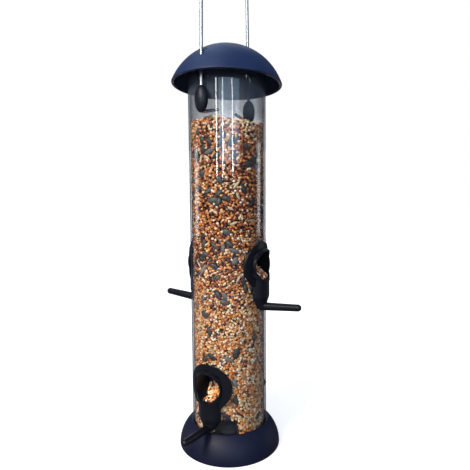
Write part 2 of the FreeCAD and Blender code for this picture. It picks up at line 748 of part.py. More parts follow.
make_tube()
make_skirt()
make_deflector()
make_screws()
for port_side, (port_turn, port_height) in PORTS.items():
    make_port(port_side, port_turn, port_height)
    make_perch(port_side, port_turn, port_height)
make_lid()
make_bail()
make_sleeves()
make_seed()
doc.recompute()
check()
write()
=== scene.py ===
"""The looks of a hanging tube feeder for birds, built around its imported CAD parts. Lengths are metres."""
import math

import bmesh
import bpy
import numpy as np
from mathutils import Matrix, Vector


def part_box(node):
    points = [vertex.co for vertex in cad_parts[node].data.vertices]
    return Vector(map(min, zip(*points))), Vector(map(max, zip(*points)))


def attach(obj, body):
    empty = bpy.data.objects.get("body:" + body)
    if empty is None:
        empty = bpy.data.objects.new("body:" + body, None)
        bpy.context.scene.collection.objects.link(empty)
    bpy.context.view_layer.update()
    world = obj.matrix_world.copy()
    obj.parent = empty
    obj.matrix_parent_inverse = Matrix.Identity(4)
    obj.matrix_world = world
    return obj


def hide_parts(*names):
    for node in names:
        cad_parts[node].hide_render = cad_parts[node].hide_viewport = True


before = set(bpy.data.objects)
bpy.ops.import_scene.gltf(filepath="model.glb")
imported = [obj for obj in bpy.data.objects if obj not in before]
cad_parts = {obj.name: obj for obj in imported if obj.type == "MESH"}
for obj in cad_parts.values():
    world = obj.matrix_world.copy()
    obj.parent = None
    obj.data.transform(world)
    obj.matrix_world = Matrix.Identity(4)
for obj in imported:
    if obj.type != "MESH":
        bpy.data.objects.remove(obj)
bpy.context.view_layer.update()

chance = np.random.default_rng(20)
MM = 0.001
UP = Vector((0, 0, 1))


def around(azimuth, distance, height):
    """A point round the feeder's axis. Azimuth is in degrees, 0 at -Y and 90 at +X."""
    turn = math.radians(azimuth)
    return Vector((distance * math.sin(turn), -distance * math.cos(turn), height))


# ---- places taken from the frame ---------------------------------------------------------

tube_low, tube_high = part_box("feeder_tube")
seed_low, seed_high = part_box("seed_fill")
tube_outside = tube_high.x
TUBE_WALL = 1.5 * MM
tube_inside = tube_outside - TUBE_WALL
PORT_AZIMUTH = {"front": 0, "right": 90, "back": 180, "left": 270}
COLLAR_RADIUS = 13.0 * MM
BORE_RADIUS = 11.6 * MM
OPENING_BELOW_FLANGE_TOP = 19.5 * MM
port_height = {side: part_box(f"port_{side}")[1].z - OPENING_BELOW_FLANGE_TOP for side in PORT_AZIMUTH}


# ---- camera, lights and floor --------------------------------------------------------------

CAMERA_AZIMUTH = 32.16


def make_camera():
    """A camera close to the feeder, a little below the top of the tube."""
    pan, tilt, roll = (math.radians(angle) for angle in (0.88, -5.37, -0.43))
    data = bpy.data.cameras.new("camera")
    data.sensor_width = 36.0
    data.lens = 34.59
    data.clip_start = 0.01
    camera = bpy.data.objects.new("camera", data)
    bpy.context.scene.collection.objects.link(camera)
    place = around(CAMERA_AZIMUTH, 0.38864, 0.22088)
    inward = Vector((-place.x, -place.y, 0)).normalized()
    across = inward.cross(UP)
    level = math.sin(pan) * across + math.cos(pan) * inward
    forward = math.cos(tilt) * level + math.sin(tilt) * UP
    right = math.cos(pan) * across - math.sin(pan) * inward
    above = right.cross(forward)
    rolled_right = math.cos(roll) * right + math.sin(roll) * above
    rolled_up = math.cos(roll) * above - math.sin(roll) * right
    turn = Matrix((rolled_right, rolled_up, -forward)).transposed()
    camera.matrix_world = Matrix.Translation(place) @ turn.to_4x4()
    bpy.context.scene.camera = camera


def make_lamp(name, place, aim, width, height, radiance, colour=(1, 1, 1)):
    """A soft box that faces the point aim, with the given brightness of its surface."""
    data = bpy.data.lights.new(name, "AREA")
    data.shape = "RECTANGLE"
    data.size = width
    data.size_y = height
    data.energy = radiance * math.pi * width * height
    data.color = colour
    lamp = bpy.data.objects.new(name, data)
    bpy.context.scene.collection.objects.link(lamp)
    lamp.location = place
    lamp.rotation_euler = (aim - place).to_track_quat("-Z", "Y").to_euler()


def make_lights():
    """A wide pale window behind the camera, narrow bright strips in it, and a lamp overhead."""
    def window(name, azimuth, distance, bottom, top, width, radiance, colour=(1, 1, 1)):
        middle = (bottom + top) / 2
        place = around(azimuth, distance, middle)
        make_lamp(name, place, Vector((0, 0, middle)), width, top - bottom, radiance, colour)

    window("window_wide", 38, 2.0, 0.38, 1.5, 2.3, 2.8, (0.48, 0.72, 1.0))
    window("window_strip_left", 1, 1.9, 0.30, 1.3, 0.13, 22.0)
    window("window_strip_middle", 20, 1.9, 0.30, 1.3, 0.07, 22.0)
    window("window_strip_right", 47, 1.9, 0.30, 1.3, 0.07, 22.0)
    window("window_back_left", -75, 1.8, 0.02, 0.45, 0.35, 5.0)
    window("window_back_right", 139, 1.8, 0.02, 0.45, 0.35, 4.5)
    window("window_behind", 212, 1.6, 0.02, 0.40, 0.6, 5.5)
    middle = Vector((0, 0, 0.16))
    make_lamp("key", around(-8, 1.15, 1.0), middle, 0.34, 0.34, 80.0, (1.0, 0.94, 0.86))
    make_lamp("key_back", around(212, 1.3, 1.5), middle, 0.8, 0.8, 1.2)
    make_lamp("ceiling", Vector((-0.6, 0.1, 1.9)), middle, 1.0, 1.0, 1.6, (0.60, 0.76, 1.0))


def make_world():
    """White to the camera; to everything else a pale horizon under a soft blue sky."""
    world = bpy.data.worlds.new("studio")
    world.use_nodes = True
    bpy.context.scene.world = world
    tree = world.node_tree
    nodes, links = tree.nodes, tree.links
    nodes.clear()
    coordinates = nodes.new("ShaderNodeTexCoord")
    split = nodes.new("ShaderNodeSeparateXYZ")
    ramp = nodes.new("ShaderNodeValToRGB")
    ramp.color_ramp.elements[0].position = 0.0
    ramp.color_ramp.elements[0].color = (0.10, 0.10, 0.11, 1)
    ramp.color_ramp.elements[1].position = 0.8
    ramp.color_ramp.elements[1].color = (0.16, 0.26, 0.50, 1)
    sky = nodes.new("ShaderNodeBackground")
    plain = nodes.new("ShaderNodeBackground")
    plain.inputs["Color"].default_value = (1, 1, 1, 1)
    path = nodes.new("ShaderNodeLightPath")
    mix = nodes.new("ShaderNodeMixShader")
    output = nodes.new("ShaderNodeOutputWorld")
    links.new(coordinates.outputs["Generated"], split.inputs["Vector"])
    links.new(split.outputs["Z"], ramp.inputs["Fac"])
    links.new(ramp.outputs["Color"], sky.inputs["Color"])
    links.new(path.outputs["Is Camera Ray"], mix.inputs["Fac"])
    links.new(sky.outputs["Background"], mix.inputs[1])
    links.new(plain.outputs["Background"], mix.inputs[2])
    links.new(mix.outputs["Shader"], output.inputs["Surface"])
    bpy.context.scene.view_settings.view_transform = "Standard"


def make_floor():
    """A plain pale sheet under the feeder."""
    half = 6.0
    mesh = bpy.data.meshes.new("floor")
    corners = [(-half, -half, 0), (half, -half, 0), (half, half, 0), (-half, half, 0)]
    mesh.from_pydata(corners, [], [(0, 1, 2, 3)])
    floor = bpy.data.objects.new("floor", mesh)
    bpy.context.scene.collection.objects.link(floor)
    finish = Finish("pale_floor")
    finish.set(roughness=0.9, specular=0.1, colour=(0.42, 0.40, 0.38))
    nodes, links = finish.nodes, finish.links
    gradient = nodes.new("ShaderNodeTexGradient")
    gradient.gradient_type = "SPHERICAL"
    links.new(finish.coordinates((2.2, 2.2, 2.2)), gradient.inputs["Vector"])
    glow = finish.ramp(gradient.outputs["Fac"], [(0.0, (1.0, 1.0, 1.0)), (0.9, (0.74, 0.74, 0.74))])
    links.new(glow, finish.shader.inputs["Emission Color"])
    finish.shader.inputs["Emission Strength"].default_value = 1.0
    dim = nodes.new("ShaderNodeBsdfDiffuse")
    dim.inputs["Color"].default_value = (0.16, 0.16, 0.17, 1)
    path = nodes.new("ShaderNodeLightPath")
    seen = nodes.new("ShaderNodeMixShader")
    links.new(path.outputs["Is Camera Ray"], seen.inputs["Fac"])
    links.new(dim.outputs["BSDF"], seen.inputs[1])
    links.new(finish.shader.outputs["BSDF"], seen.inputs[2])
    links.new(seen.outputs["Shader"], nodes["Material Output"].inputs["Surface"])
    mesh.materials.append(finish.material)


# ---- materials ------------------------------------------------------------------------------


class Finish:
    """A material with one Principled shader, and short ways to drive it with patterns."""

    def __init__(self, name):
        self.material = bpy.data.materials.new(name)
        self.material.use_nodes = True
        self.nodes = self.material.node_tree.nodes
        self.links = self.material.node_tree.links
        self.shader = self.nodes["Principled BSDF"]
        self.place = None

    def set(self, colour=None, roughness=None, specular=None, metallic=None):
        """Sets values that are the same all over the surface."""
        sockets = self.shader.inputs
        if colour is not None:
            sockets["Base Color"].default_value = (*colour, 1)
        if roughness is not None:
            sockets["Roughness"].default_value = roughness
        if specular is not None:
            sockets["Specular IOR Level"].default_value = specular
        if metallic is not None:
            sockets["Metallic"].default_value = metallic

    def coordinates(self, stretch=(1, 1, 1)):
        """The piece's own coordinates, with each axis multiplied by its stretch."""
        if self.place is None:
            self.place = self.nodes.new("ShaderNodeTexCoord")
        mapping = self.nodes.new("ShaderNodeMapping")
        mapping.inputs["Scale"].default_value = stretch
        self.links.new(self.place.outputs["Object"], mapping.inputs["Vector"])
        return mapping.outputs["Vector"]

    def noise(self, grain, detail=3.0, stretch=(1, 1, 1)):
        """A noise pattern whose grain is about this many metres across."""
        node = self.nodes.new("ShaderNodeTexNoise")
        node.inputs["Scale"].default_value = 1.0 / grain
        node.inputs["Detail"].default_value = detail
        self.links.new(self.coordinates(stretch), node.inputs["Vector"])
        return node.outputs["Fac"]

    def island(self):
        """A number from 0 to 1 that differs from one grain to the next."""
        node = self.nodes.new("ShaderNodeNewGeometry")
        return node.outputs["Random Per Island"]

    def ramp(self, value, stops):
        """Colours along a value: stops are (position, colour)."""
        node = self.nodes.new("ShaderNodeValToRGB")
        elements = node.color_ramp.elements
        while len(elements) < len(stops):
            elements.new(0.5)
        for element, (position, colour) in zip(elements, stops):
            element.position = position
            element.color = (*colour, 1)
        self.links.new(value, node.inputs["Fac"])
        return node.outputs["Color"]

    def blend(self, amount, first, second, kind="MIX"):
        """Two colours mixed by an amount that is a number or a pattern."""
        node = self.nodes.new("ShaderNodeMix")
        node.data_type = "RGBA"
        node.blend_type = kind
        fill = {"Factor": amount, "A": first, "B": second}
        for key, value in fill.items():
            sockets = [s for s in node.inputs if s.name == key and s.enabled]
            socket = sockets[0]
            if isinstance(value, bpy.types.NodeSocket):
                self.links.new(value, socket)
            elif isinstance(value, tuple):
                socket.default_value = (*value, 1)
            else:
                socket.default_value = value
        return [s for s in node.outputs if s.enabled][0]

    def span(self, value, low, high):
        """A pattern's usual range, stretched to run from low to high."""
        node = self.nodes.new("ShaderNodeMapRange")
        node.inputs["From Min"].default_value = 0.3
        node.inputs["From Max"].default_value = 0.7
        node.inputs["To Min"].default_value = low
        node.inputs["To Max"].default_value = high
        self.links.new(value, node.inputs["Value"])
        return node.outputs["Result"]

    def colour(self, socket):
        self.links.new(socket, self.shader.inputs["Base Color"])

    def roughness(self, value, low, high):
        self.links.new(self.span(value, low, high), self.shader.inputs["Roughness"])

    def math(self, operation, first, second):
        """One sum of two numbers or patterns."""
        node = self.nodes.new("ShaderNodeMath")
        node.operation = operation
        for socket, value in zip(node.inputs, (first, second)):
            if isinstance(value, bpy.types.NodeSocket):
                self.links.new(value, socket)
            else:
                socket.default_value = value
        return node.outputs["Value"]

    def facing(self, normal):
        """0 where the surface faces the eye, rising to 1 at its edges."""
        node = self.nodes.new("ShaderNodeLayerWeight")
        node.inputs["Blend"].default_value = 0.5
        self.links.new(normal, node.inputs["Normal"])
        return node.outputs["Facing"]

    def mirror_share(self, normal, head_on):
        """The share that a clear wall mirrors: head_on seen square, and all of it at its edges."""
        steep = self.math("POWER", self.facing(normal), 5.0)
        return self.math("ADD", self.math("MULTIPLY", steep, 1.0 - head_on), head_on)

    def bump(self, value, depth, strength=1.0):
        """Raises the surface by up to depth metres where the pattern is high."""
        node = self.nodes.new("ShaderNodeBump")
        node.inputs["Strength"].default_value = strength
        node.inputs["Distance"].default_value = depth
        self.links.new(value, node.inputs["Height"])
        self.links.new(node.outputs["Normal"], self.shader.inputs["Normal"])
        return node.outputs["Normal"]


def moulded_plastic(name, dark, light, shine, specular):
    """A dark moulded plastic: finely grained, a little dusty, with patches more rubbed than others."""
    finish = Finish(name)
    patches = finish.noise(22 * MM, 5.0)
    specks = finish.noise(1.1 * MM, 4.0)
    mottled = finish.blend(finish.span(patches, 0.0, 1.0), dark, light)
    dust = finish.ramp(specks, [(0.60, (0, 0, 0)), (0.80, (0.007, 0.0075, 0.009))])
    finish.colour(finish.blend(1.0, mottled, dust, "ADD"))
    finish.roughness(patches, shine - 0.05, shine + 0.07)
    finish.bump(finish.noise(0.45 * MM, 3.0), 0.03 * MM, 0.6)
    finish.set(specular=specular)
    return finish.material


def clear_plastic():
    """A clear extruded tube: faint lines along it, a tint that darkens at its edges, reflections, and above
    the seed a dark film in smears that is painted shade over the view inside.
    """
    finish = Finish("clear_tube_plastic")
    nodes, links = finish.nodes, finish.links
    lines = finish.noise(5.0 * MM, 2.0, (1, 1, 0.012))
    waves = nodes.new("ShaderNodeBump")
    waves.inputs["Strength"].default_value = 0.5
    waves.inputs["Distance"].default_value = 0.16 * MM
    links.new(lines, waves.inputs["Height"])
    nodes.remove(finish.shader)
    clear = nodes.new("ShaderNodeBsdfTransparent")
    tint = finish.ramp(finish.facing(waves.outputs["Normal"]), [
        (0.0, (0.95, 0.955, 0.96)), (0.35, (0.90, 0.91, 0.92)), (0.73, (0.79, 0.79, 0.79)),
        (0.80, (0.50, 0.48, 0.46)), (0.97, (0.26, 0.25, 0.24))])
    links.new(tint, clear.inputs["Color"])
    gloss = nodes.new("ShaderNodeBsdfGlossy")
    gloss.inputs["Roughness"].default_value = 0.06
    share = finish.mirror_share(waves.outputs["Normal"], 0.04)
    mix = nodes.new("ShaderNodeMixShader")
    links.new(waves.outputs["Normal"], gloss.inputs["Normal"])
    links.new(share, mix.inputs["Fac"])
    links.new(clear.outputs["BSDF"], mix.inputs[1])
    links.new(gloss.outputs["BSDF"], mix.inputs[2])
    # Above the seed a dark diffuse film, in smears, is painted shade: it dims the view through the wall to
    # the inside under the lid.
    painted_shade_film = nodes.new("ShaderNodeBsdfDiffuse")
    painted_shade_film.inputs["Color"].default_value = (0.09, 0.105, 0.13, 1)
    painted_shade_mix = nodes.new("ShaderNodeMixShader")
    height = nodes.new("ShaderNodeSeparateXYZ")
    links.new(finish.coordinates(), height.inputs["Vector"])
    above_seed = nodes.new("ShaderNodeMapRange")
    above_seed.inputs["From Min"].default_value = seed_high.z
    above_seed.inputs["From Max"].default_value = seed_high.z + 7 * MM
    links.new(height.outputs["Z"], above_seed.inputs["Value"])
    shade_smears = finish.span(finish.noise(7.0 * MM, 4.0, (1, 1, 0.12)), 0.12, 0.30)
    links.new(finish.math("MULTIPLY", above_seed.outputs["Result"], shade_smears), painted_shade_mix.inputs["Fac"])
    links.new(mix.outputs["Shader"], painted_shade_mix.inputs[1])
    links.new(painted_shade_film.outputs["BSDF"], painted_shade_mix.inputs[2])
    links.new(painted_shade_mix.outputs["Shader"], nodes["Material Output"].inputs["Surface"])
    return finish.material


def zinc_wire():
    """Galvanised wire: bright, with faint drawing marks and duller spots."""
    finish = Finish("zinc_wire")
    finish.set(metallic=1.0)
    spots = finish.noise(2.5 * MM, 4.0)
    finish.colour(finish.ramp(spots, [(0.35, (0.34, 0.34, 0.355)), (0.75, (0.21, 0.21, 0.225))]))
    finish.roughness(finish.noise(4 * MM, 3.0), 0.34, 0.46)
    finish.bump(finish.noise(0.5 * MM, 2.0, (1, 1, 0.1)), 0.01 * MM, 0.15)
    return finish.material


def screw_steel():
    """Plain steel screws with turning marks."""
    finish = Finish("screw_steel")
    finish.set(metallic=1.0)
    marks = finish.noise(0.8 * MM, 4.0)
    finish.colour(finish.ramp(marks, [(0.3, (0.55, 0.55, 0.56)), (0.75, (0.38, 0.37, 0.36))]))
    finish.roughness(marks, 0.3, 0.48)
    finish.bump(marks, 0.03 * MM, 0.4)
    return finish.material


def grain_material(name, tones, roughness, mottle=0.35, spot=0.5 * MM):
    """One kind of seed: each grain takes a tone of its own, darker in small spots."""
    finish = Finish(name)
    last = len(tones) - 1
    tone = finish.ramp(finish.island(), [(i / last, colour) for i, colour in enumerate(tones)])
    spots = finish.noise(spot, 3.0)
    shade = finish.ramp(spots, [(0.35, (1, 1, 1)), (0.8, (1 - mottle,) * 3)])
    finish.colour(finish.blend(1.0, tone, shade, "MULTIPLY"))
    finish.roughness(spots, roughness - 0.08, roughness + 0.1)
    finish.bump(finish.noise(0.25 * MM, 2.0), 0.02 * MM, 0.5)
    return finish.material


def give(node, material):
    """Puts a material on a CAD node."""
    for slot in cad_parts[node].material_slots:
        slot.material = material


# ---- seed -----------------------------------------------------------------------------------


def ball_shape(rings, sides):
    """Points and triangles of a closed ball of radius 1 whose poles lie on X."""
    points = [(1.0, 0.0, 0.0)]
    for ring in range(1, rings):
        polar = math.pi * ring / rings
        for side in range(sides):
            turn = 2 * math.pi * (side + 0.5 * (ring % 2)) / sides
            width = math.sin(polar)
            points.append((math.cos(polar), width * math.cos(turn), width * math.sin(turn)))
    points.append((-1.0, 0.0, 0.0))
    faces = []
    for side in range(sides):
        after = (side + 1) % sides
        faces.append((0, 1 + side, 1 + after))
        for ring in range(rings - 2):
            near, far = 1 + ring * sides, 1 + (ring + 1) * sides
            if ring % 2:
                faces.append((near + side, far + side, near + after))
                faces.append((near + after, far + side, far + after))
            else:
                faces.append((near + side, far + side, far + after))
                faces.append((near + side, far + after, near + after))
        last = 1 + (rings - 2) * sides
        faces.append((last + side, len(points) - 1, last + after))
    return np.array(points), np.array(faces)


def pointed(points, sharpness):
    """A ball drawn to a point at +X and blunt at -X, as a hulled sunflower seed is."""
    along = points[:, 0]
    narrow = 1 - sharpness * np.clip(along, 0, 1) ** 2 - 0.25 * sharpness * np.clip(-along, 0, 1) ** 2
    return points * np.column_stack([np.ones(len(points)), narrow, narrow])


class Kind:
    """A kind of seed: its half sizes along, across and through, how they vary, and its grains."""

    def __init__(self, name, half, vary, shape, material):
        self.name = name
        self.half = np.array(half) * MM
        self.vary = vary
        self.points, self.faces = shape
        self.material = material
        self.grains = []

    def sizes(self):
        """Half sizes of one more grain."""
        return self.half * (1 + self.vary * chance.uniform(-1, 1, 3))

    def add(self, centre, axes, half):
        """One grain: axes are rows along, across and through."""
        self.grains.append((centre, axes, half))

    def build(self):
        """All the grains of this kind as one piece."""
        count, per = len(self.grains), len(self.points)
        centres = np.array([grain[0] for grain in self.grains])
        axes = np.array([grain[1] for grain in self.grains])
        halves = np.array([grain[2] for grain in self.grains])
        local = self.points[None, :, :] * halves[:, None, :]
        points = np.einsum("gpa,gax->gpx", local, axes) + centres[:, None, :]
        faces = self.faces[None, :, :] + (np.arange(count) * per)[:, None, None]
        mesh = bpy.data.meshes.new(self.name)
        mesh.from_pydata(points.reshape(-1, 3), [], faces.reshape(-1, 3))
        mesh.shade_smooth()
        mesh.materials.append(self.material)
        piece = bpy.data.objects.new(self.name, mesh)
        bpy.context.scene.collection.objects.link(piece)
        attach(piece, "feeder")
        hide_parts("seed_fill")
        return piece


def seed_kinds():
    """The kinds in the mix, biggest first, each with its share of the grains laid."""
    small = ball_shape(4, 6)
    long = ball_shape(6, 8)
    big = ball_shape(8, 10)
    hulled = (pointed(big[0], 0.62), big[1])
    slim = (pointed(long[0], 0.4), long[1])
    dark_hull = grain_material(
        "sunflower_hull_dark",
        [(0.014, 0.013, 0.011), (0.060, 0.056, 0.046), (0.024, 0.019, 0.015), (0.110, 0.104, 0.088)],
        0.55, 0.6, 0.9 * MM)
    pale_hull = grain_material(
        "sunflower_hull_grey",
        [(0.15, 0.14, 0.125), (0.26, 0.24, 0.21), (0.09, 0.088, 0.080)],
        0.55, 0.85, 1.0 * MM)
    oat = grain_material(
        "oat_hull",
        [(0.52, 0.36, 0.19), (0.66, 0.50, 0.31), (0.40, 0.27, 0.14)],
        0.55, 0.3, 1.0 * MM)
    cream = grain_material(
        "millet_cream_skin",
        [(0.95, 0.66, 0.36), (1.0, 0.86, 0.62), (0.70, 0.42, 0.20), (0.98, 0.76, 0.44)],
        0.30)
    golden = grain_material(
        "millet_golden_skin",
        [(0.88, 0.34, 0.070), (0.98, 0.50, 0.15), (0.46, 0.15, 0.036), (0.92, 0.42, 0.11)],
        0.30)
    orange = grain_material(
        "millet_orange_skin",
        [(0.70, 0.19, 0.036), (0.34, 0.08, 0.022), (0.82, 0.29, 0.070), (0.50, 0.13, 0.030)],
        0.30)
    red = grain_material(
        "millet_red_skin",
        [(0.11, 0.024, 0.013), (0.045, 0.013, 0.010), (0.24, 0.050, 0.022), (0.028, 0.012, 0.011)],
        0.30)
    return {
        "sunflower_dark": Kind("sunflower_dark", (4.5, 2.5, 1.6), 0.2, hulled, dark_hull),
        "sunflower_grey": Kind("sunflower_grey", (4.6, 2.3, 1.5), 0.2, hulled, pale_hull),
        "oat": Kind("oat", (3.6, 1.15, 0.95), 0.18, slim, oat),
        "millet_cream": Kind("millet_cream", (1.28, 1.16, 1.04), 0.14, small, cream),
        "millet_golden": Kind("millet_golden", (1.28, 1.16, 1.04), 0.14, small, golden),
        "millet_orange": Kind("millet_orange", (1.24, 1.12, 1.02), 0.14, small, orange),
        "millet_red": Kind("millet_red", (1.20, 1.08, 0.98), 0.14, small, red),
    }


class Ground:
    """A flat patch of cells, which grains cover as they are laid. Its columns may wrap round."""

    CELL = 0.45 * MM

    def __init__(self, width, height, wraps):
        self.columns = int(round(width / self.CELL))
        self.rows = int(round(height / self.CELL))
        self.wraps = wraps
        self.taken = np.zeros((self.rows, self.columns), bool)

    def cells(self, across, up, half_long, half_wide, turn):
        """The cells under an ellipse, or None where it runs off the patch."""
        reach = int(math.ceil(max(half_long, half_wide) / self.CELL))
        column, row = int(across / self.CELL), int(up / self.CELL)
        if row < 0 or row >= self.rows:
            return None
        steps = np.arange(-reach, reach + 1)
        dx, dy = np.meshgrid(steps, steps)
        along = (dx * math.cos(turn) + dy * math.sin(turn)) * self.CELL / half_long
        side = (dy * math.cos(turn) - dx * math.sin(turn)) * self.CELL / half_wide
        inside = along ** 2 + side ** 2 <= 1
        rows, columns = dy[inside] + row, dx[inside] + column
        if self.wraps:
            columns = columns % self.columns
        elif columns.min() < 0 or columns.max() >= self.columns:
            return None
        keep = (rows >= 0) & (rows < self.rows)
        return rows[keep], columns[keep]

    def lay(self, across, up, half_long, half_wide, turn, overlap):
        """Covers an ellipse if no more than the share overlap of it is taken already."""
        spot = self.cells(across, up, half_long, half_wide, turn)
        if spot is None or self.taken[spot].mean() > overlap:
            return False
        self.taken[spot] = True
        return True


def any_axes(outward, flat):
    """Random axes for a grain, whose thickness lies near outward when flat is near 1."""
    outward = np.array(outward)
    helper = chance.normal(size=3)
    along = np.cross(outward, helper)
    along /= np.linalg.norm(along)
    across = np.cross(outward, along)
    turn = chance.uniform(0, 2 * math.pi)
    first = math.cos(turn) * along + math.sin(turn) * across
    second = np.cross(outward, first)
    lean, roll = chance.normal(size=2) * (1 - flat)
    first = first * math.cos(lean) + outward * math.sin(lean)
    third = np.cross(first, second)
    second, third = (second * math.cos(roll) + third * math.sin(roll),
                     third * math.cos(roll) - second * math.sin(roll))
    return np.array([first, second, third])


def seed_top(azimuth):
    """Height of the seed at the wall: it stands a little higher towards the left port."""
    slope = 2.0 * MM * math.cos(math.radians(azimuth - 290))
    lumps = 1.1 * MM * math.sin(math.radians(3 * azimuth + 40))
    lumps += 0.7 * MM * math.sin(math.radians(7 * azimuth))
    return seed_high.z + 1.6 * MM + slope + lumps


def seed_floor(azimuth):
    """Height of the lowest seed at the wall. An air pocket stays beside the front port's neck."""
    beside = (azimuth + 180) % 360 - 180
    pocket = np.interp(beside, [-13, 3, 13, 43, 54], [0, 9, 22.5, 21.5, 0]) * MM
    return seed_low.z + 1.0 * MM + float(pocket)


def band(name, turn, level):
    """How readily a kind is laid at a turn about the axis and a level from 0 to 1: pouring leaves bands."""
    shifted = level + 0.03 * math.sin(2 * turn + 1.0) + 0.02 * math.sin(5 * turn)
    light = float(np.interp(shifted, [0.44, 0.52, 0.84, 0.94], [1.0, 0.25, 0.15, 0.55]))
    if name in ("millet_cream", "millet_golden"):
        return 0.12 + 0.88 * light
    if name == "millet_red":
        return 0.45 + 0.55 * (1 - light)
    if "sunflower" in name:
        return 0.25 + 0.75 * (1 - light)
    return 0.9


def fill_wall(kinds):
    """Lays grains against the inside of the tube, with a second layer in the gaps of the first."""
    width = 2 * math.pi * tube_inside
    height = seed_high.z + 8 * MM
    first = Ground(width, height, True)
    for side, azimuth in PORT_AZIMUTH.items():
        collar = first.cells(math.radians(azimuth) * tube_inside, port_height[side],
                             COLLAR_RADIUS + 4.2 * MM, COLLAR_RADIUS + 1.6 * MM, 0)
        first.taken[collar] = True
        spigot = first.cells(math.radians(azimuth) * tube_inside, port_height[side] - 34.6 * MM,
                             2.6 * MM, 2.6 * MM, 0)
        first.taken[spigot] = True
    second = Ground(width, height, True)
    second.taken = first.taken.copy()
    for column in range(first.columns):
        azimuth = math.degrees(column * Ground.CELL / tube_inside)
        for ground in (first, second):
            ground.taken[: int(seed_floor(azimuth) / Ground.CELL), column] = True
            ground.taken[int(seed_top(azimuth) / Ground.CELL):, column] = True

    def sow(ground, kind, tries, overlap, depth, flat, under=None):
        """Tries to lay grains of a kind at random places, depth metres behind the wall."""
        spots = chance.uniform(0, 1, (tries, 2)) * (width, height)
        for across, up in spots:
            if chance.uniform() > band(kind.name, across / tube_inside, up / height):
                continue
            cell = int(up / Ground.CELL) % ground.rows, int(across / Ground.CELL) % ground.columns
            if ground.taken[cell] or (under is not None and under.taken[cell]):
                continue
            outward = around(math.degrees(across / tube_inside), 1, 0)
            axes = any_axes(outward, flat)
            half = kind.sizes()
            turn = math.atan2(axes[0][2], axes[0] @ np.array((-outward.y, outward.x, 0)))
            lies = half * np.abs(axes @ np.array(outward))
            reach = math.sqrt((lies ** 2).sum())
            seen_long = half[0] * math.sqrt(max(1 - (axes[0] @ np.array(outward)) ** 2, 0.1))
            if ground.lay(across, up, seen_long * 0.86, half[1] * 0.86, turn, overlap):
                radius = tube_inside - 0.12 * MM - depth * chance.uniform(0.6, 1.3) - reach
                centre = np.array(outward) * radius + np.array((0, 0, up))
                kind.add(centre, axes, half)

    sow(first, kinds["sunflower_dark"], 330, 0.05, 0.15 * MM, 0.9)
    sow(first, kinds["sunflower_grey"], 170, 0.05, 0.15 * MM, 0.9)
    sow(first, kinds["oat"], 170, 0.08, 0.1 * MM, 0.9)
    millets = ["millet_golden", "millet_cream", "millet_orange", "millet_red"]
    for turn in range(14):
        for name, tries in zip(millets, (1400, 1200, 1200, 1000)):
            late = turn >= 8
            sow(first, kinds[name], tries, 0.3 if late else 0.1, (0.8 if late else 0.2) * MM, 0.5)
    for turn in range(10):
        for name, tries in zip(millets, (900, 700, 1000, 1500)):
            sow(second, kinds[name], tries, 0.3, 1.9 * MM, 0.4, under=first)


def fill_top(kinds):
    """Grains over the top of the seed, in two layers."""
    for depth, count in ((0.0, 1000), (1.4 * MM, 900)):
        ground = Ground(2 * tube_inside, 2 * tube_inside, False)
        for name in list(kinds):
            kind = kinds[name]
            share = 7 if "sunflower" in name else 14 if name == "oat" else count
            for _ in range(share):
                half = kind.sizes()
                edge = tube_inside - 0.3 * MM - half[0]
                distance = edge * math.sqrt(chance.uniform(0, 1))
                azimuth = chance.uniform(0, 360)
                spot = around(azimuth, distance, 0)
                axes = any_axes((0, 0, 1), 0.75)
                turn = math.atan2(axes[0][1], axes[0][0])
                across, along = spot.x + tube_inside, spot.y + tube_inside
                if ground.lay(across, along, half[0] * 0.85, half[1] * 0.85, turn, 0.15):
                    at_wall = seed_top(azimuth) * distance / tube_inside
                    rise = at_wall + seed_high.z * (1 - distance / tube_inside)
                    height = rise - half[2] * 0.6 - depth + chance.uniform(-0.3, 0.3) * MM
                    kind.add(np.array((spot.x, spot.y, height)), axes, half)


HOOD_BACK = 13.5 * MM
MOUTH_LOW = 28.0 * MM
MOUTH_SLOPE = math.radians(36.0)
SEED_SPILL = {"front": 1.0 * MM, "right": 12.0 * MM, "back": 4.0 * MM, "left": 9.0 * MM}


def pile_height(side, distance):
    """Height of the seed inside a port's hood, from the middle of the opening."""
    outer_end = MOUTH_LOW + SEED_SPILL[side]
    return -COLLAR_RADIUS + 0.6 * MM + (outer_end - distance) * math.tan(MOUTH_SLOPE) * 0.85


def fill_hoods(kinds):
    """Grains that run down to each opening inside its hood."""
    names = ["millet_golden", "millet_cream", "millet_orange", "millet_red"]
    for side, azimuth in PORT_AZIMUTH.items():
        outward = np.array(around(azimuth, 1, 0))
        sideways = np.cross((0, 0, 1), outward)
        for depth in (0.0, 1.3 * MM, 2.6 * MM):
            ground = Ground(28 * MM, 28 * MM, False)
            for _ in range(1500):
                kind = kinds["oat"] if chance.uniform() < 0.01 else kinds[names[chance.integers(4)]]
                half = kind.sizes()
                distance = chance.uniform(HOOD_BACK, MOUTH_LOW + 7 * MM)
                level = max(pile_height(side, distance), -BORE_RADIUS + half[2]) - depth
                room = BORE_RADIUS if level > -BORE_RADIUS else 0.0
                limit = math.sqrt(max(room ** 2 - level ** 2, 0)) - half[1]
                if level < -BORE_RADIUS + half[2] and distance > MOUTH_LOW:
                    continue
                if distance < MOUTH_LOW:
                    limit = max(limit, 9 * MM * (depth > 0))
                if limit <= 0:
                    continue
                aside = chance.uniform(-limit, limit)
                axes = any_axes((0, 0, 1), 0.5)
                across, along = distance - HOOD_BACK + 3 * MM, aside + 14 * MM
                if ground.lay(across, along, half[0] * 0.8, half[1] * 0.8, 0, 0.2):
                    centre = outward * distance + sideways * aside
                    centre = centre + np.array((0, 0, port_height[side] + level - half[2] * 0.3))
                    kind.add(centre, axes, half)


